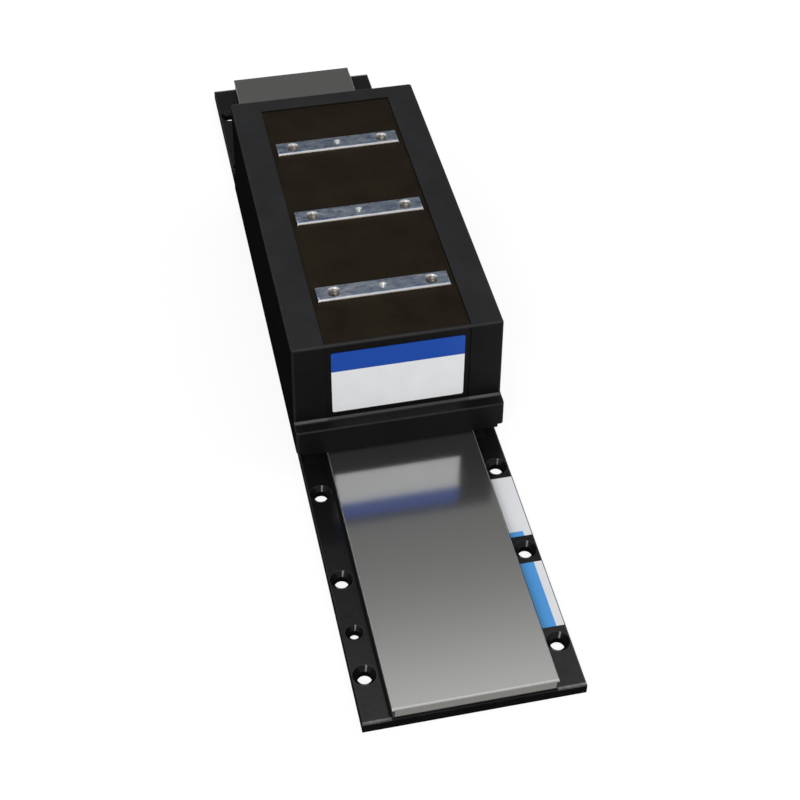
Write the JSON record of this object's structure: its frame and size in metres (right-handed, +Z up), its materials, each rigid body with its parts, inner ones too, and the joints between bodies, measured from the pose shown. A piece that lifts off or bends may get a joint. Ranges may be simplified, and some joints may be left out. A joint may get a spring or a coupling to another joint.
{
  "type": "flat linear motor",
  "caption": "Flat iron-core linear motor: a black moulded coil unit with plated mounting bars runs over a flat magnet rail under a thin steel cover.",
  "frame": {"origin": "middle of the rail's underside", "axes": "+X across the rail, +Y along the travel, +Z up towards the mounting bars"},
  "size_m": [0.0866, 0.405, 0.065],
  "materials": {
    "rail_black": "semi-gloss black coating on steel",
    "magnet_plating": "bright nickel plating",
    "bed_resin": "matt black resin",
    "cover_steel": "smooth bright stainless sheet",
    "label_film": "printed film, bare of words",
    "case_black": "satin black moulding",
    "core_steel": "dark brown varnish over stacked laminations",
    "insulation": "glass-filled insulation",
    "winding_copper": "enamelled copper",
    "board_laminate": "epoxy laminate",
    "sensor_body": "coated bead",
    "casting_resin": "black casting resin",
    "gland_rubber": "black rubber",
    "nameplate_metal": "printed metal plate, bare of words",
    "bar_plating": "bright zinc plating"
  },
  "bodies": {
    "magnet_rail": {"rail_base_plate": "rail_black", "magnets_north": "magnet_plating", "magnets_south": "magnet_plating", "magnet_bed": "bed_resin", "magnet_cover": "cover_steel", "rail_label_front": "label_film", "rail_label_rear": "label_film"},
    "coil_unit": {"moulded_case": "case_black", "base_sheet": "insulation", "laminated_core": "core_steel", "slot_liners": "insulation", "slot_wedges": "insulation", "winding_phase_u": "winding_copper", "winding_phase_v": "winding_copper", "winding_phase_w": "winding_copper", "phase_links": "winding_copper", "star_link": "winding_copper", "terminal_board": "board_laminate", "thermal_sensor": "sensor_body", "potting_resin": "casting_resin", "lead_glands": "gland_rubber", "nameplate": "nameplate_metal", "mounting_bar_front": "bar_plating", "mounting_bar_middle": "bar_plating", "mounting_bar_rear": "bar_plating"}
  },
  "joints": [
    {"name": "coil_slide", "type": "slide", "parent": "magnet_rail", "child": "coil_unit", "axis": [0, 1, 0], "range_m": [-0.1266, 0.0958]}
  ]
}
